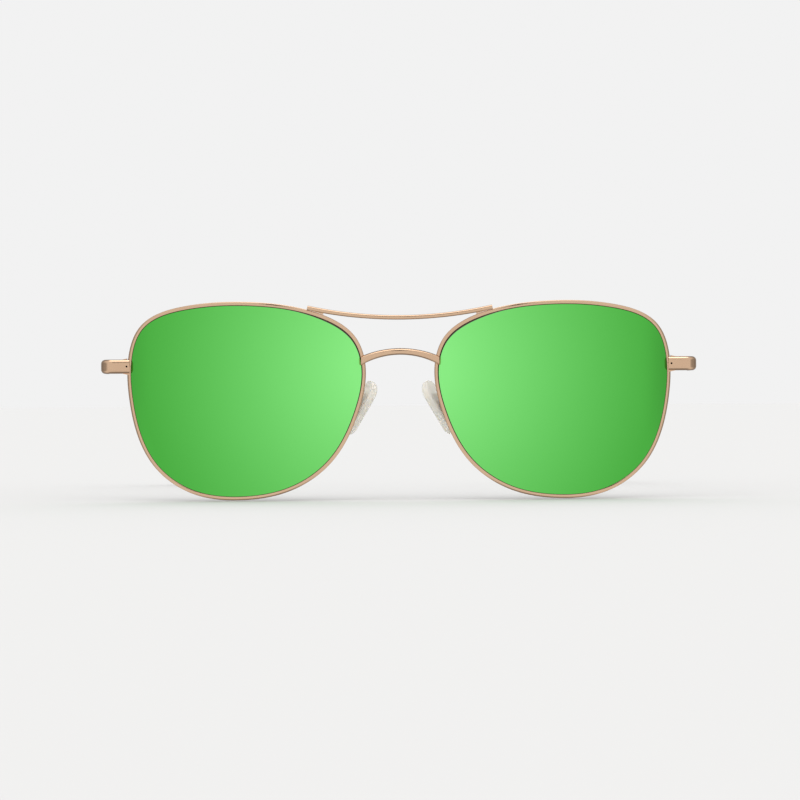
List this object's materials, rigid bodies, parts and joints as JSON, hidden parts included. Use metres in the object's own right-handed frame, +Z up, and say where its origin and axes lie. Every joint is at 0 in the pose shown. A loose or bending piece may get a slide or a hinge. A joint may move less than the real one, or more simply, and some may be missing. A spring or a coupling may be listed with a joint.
{
  "type": "aviator sunglasses",
  "caption": "Metal-rimmed aviator sunglasses with green mirrored lenses, a double bridge, folding temples and rocking nose pads.",
  "frame": {"origin": "on the surface that the glasses stand on, below the middle of their bounding box", "axes": "+Z up; the lenses face -Y and the temples run to +Y; +X is the wearer's left"},
  "size_m": [0.1416, 0.1507, 0.0471],
  "materials": {
    "frame_metal": "satin rose-gold plating",
    "screw_steel": "bright steel",
    "lens_mirror": "green mirror coating on a polished dark tinted lens",
    "tip_acetate": "polished brown tortoise acetate",
    "pad_silicone": "translucent ivory silicone"
  },
  "bodies": {
    "front": {"bridge": "frame_metal", "brow_bar": "frame_metal", "left_lens": "lens_mirror", "left_rim": "frame_metal", "left_closing_block_upper": "frame_metal", "left_closing_block_lower": "frame_metal", "left_rim_screw": "screw_steel", "left_endpiece": "frame_metal", "left_hinge_front": "frame_metal", "left_hinge_screw": "screw_steel", "left_pad_arm": "frame_metal", "left_pad_box": "frame_metal", "left_pad_screw": "screw_steel", "left_brow_bar_block": "frame_metal", "right_lens": "lens_mirror", "right_rim": "frame_metal", "right_closing_block_upper": "frame_metal", "right_closing_block_lower": "frame_metal", "right_rim_screw": "screw_steel", "right_endpiece": "frame_metal", "right_hinge_front": "frame_metal", "right_hinge_screw": "screw_steel", "right_pad_arm": "frame_metal", "right_pad_box": "frame_metal", "right_pad_screw": "screw_steel", "right_brow_bar_block": "frame_metal"},
    "left_temple": {"left_hinge_temple": "frame_metal", "left_temple": "frame_metal", "left_temple_tip": "tip_acetate"},
    "right_temple": {"right_hinge_temple": "frame_metal", "right_temple": "frame_metal", "right_temple_tip": "tip_acetate"},
    "left_pad": {"left_pad_core": "screw_steel", "left_nose_pad": "pad_silicone"},
    "right_pad": {"right_pad_core": "screw_steel", "right_nose_pad": "pad_silicone"}
  },
  "joints": [
    {"name": "left_temple_fold", "type": "hinge", "parent": "front", "child": "left_temple", "pos_m": [0.06795, -0.06015, 0.03185], "axis": [0, 0, 1], "range_deg": [0, 85.5]},
    {"name": "right_temple_fold", "type": "hinge", "parent": "front", "child": "right_temple", "pos_m": [-0.06795, -0.06015, 0.03185], "axis": [0, 0, -1], "range_deg": [0, 81.5]},
    {"name": "left_pad_rock", "type": "hinge", "parent": "front", "child": "left_pad", "pos_m": [0.01119, -0.06637, 0.02263], "axis": [-0.302, -0.9397, -0.1606], "range_deg": [-10, 10]},
    {"name": "right_pad_rock", "type": "hinge", "parent": "front", "child": "right_pad", "pos_m": [-0.01119, -0.06637, 0.02263], "axis": [-0.302, 0.9397, 0.1606], "range_deg": [-10, 10]}
  ]
}
